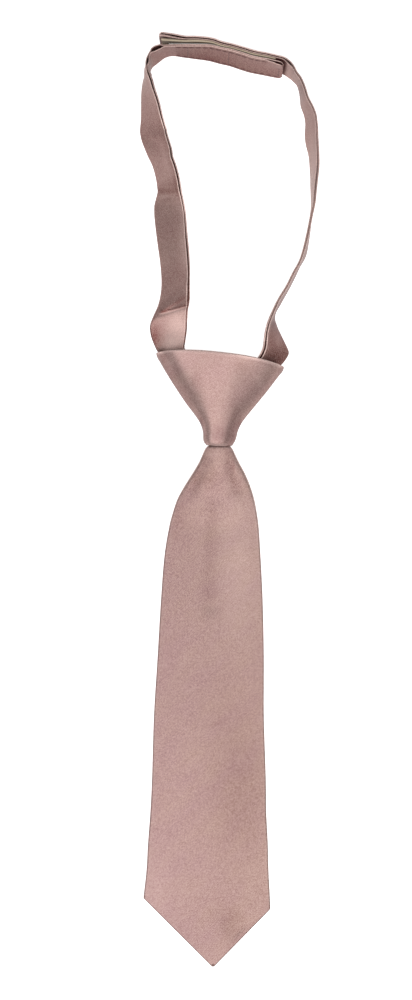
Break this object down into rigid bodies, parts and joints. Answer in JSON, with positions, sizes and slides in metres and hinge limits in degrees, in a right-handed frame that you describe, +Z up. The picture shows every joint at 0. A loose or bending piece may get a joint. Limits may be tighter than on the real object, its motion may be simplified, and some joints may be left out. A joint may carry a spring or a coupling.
{
  "type": "pre-tied necktie",
  "caption": "Child's pre-tied necktie: a smooth wide knot, a pointed blade and folded neck straps closed at the back by hook-and-loop tape.",
  "frame": {"origin": "on the floor, under the middle of the tie's footprint", "axes": "+Y along the tie from the blade's tip to the back of the neck, +Z up out of the tie's front, +X to the right seen from the front"},
  "size_m": [0.089, 0.464, 0.018],
  "materials": {
    "satin": "matte satin",
    "hook_tape": "woven hook tape",
    "loop_tape": "brushed loop tape"
  },
  "bodies": {
    "root": {"blade": "satin", "knot": "satin", "neck_strap_left": "satin", "neck_strap_right": "satin", "hook_tape": "hook_tape", "loop_tape": "loop_tape"}
  },
  "joints": []
}
